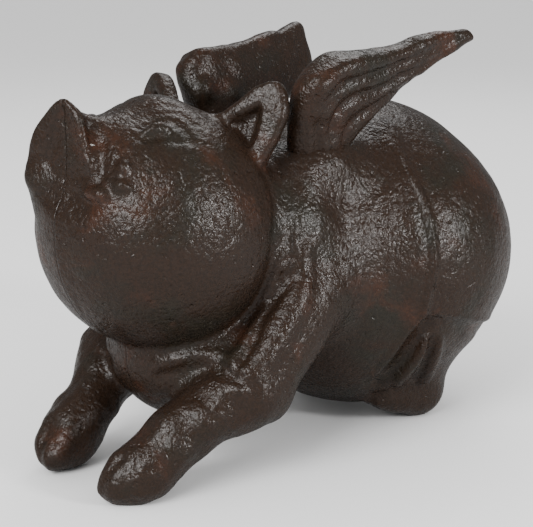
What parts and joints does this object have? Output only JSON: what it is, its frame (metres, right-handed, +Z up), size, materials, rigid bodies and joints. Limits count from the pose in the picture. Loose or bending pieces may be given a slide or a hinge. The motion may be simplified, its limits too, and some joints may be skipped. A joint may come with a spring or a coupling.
{
  "type": "winged pig figurine",
  "caption": "Hollow cast-iron ornament of a pig lying with its head raised and a pair of feathered wings on its back; stands free as a paperweight or shelf piece.",
  "frame": {"origin": "on the floor, on the middle plane, at the centre of the length: centre of the bounding box's bottom face", "axes": "+X to the pig's left side, -Y towards the snout, +Y towards the rump, +Z up"},
  "size_m": [0.0896, 0.1442, 0.1091],
  "materials": {
    "painted_iron": "dark rust-brown paint under glossy clear lacquer over orange-peel casting grain",
    "plain_steel": "plain turned steel"
  },
  "bodies": {
    "root": {"left_body_half": "painted_iron", "right_body_half": "painted_iron", "left_wing": "painted_iron", "right_wing": "painted_iron", "left_wing_washer": "plain_steel", "right_wing_washer": "plain_steel", "left_wing_screw": "plain_steel", "right_wing_screw": "plain_steel", "head_tie_screw": "plain_steel", "chest_tie_screw": "plain_steel", "rump_tie_screw": "plain_steel", "front_dowel": "plain_steel", "rear_dowel": "plain_steel"}
  },
  "joints": []
}
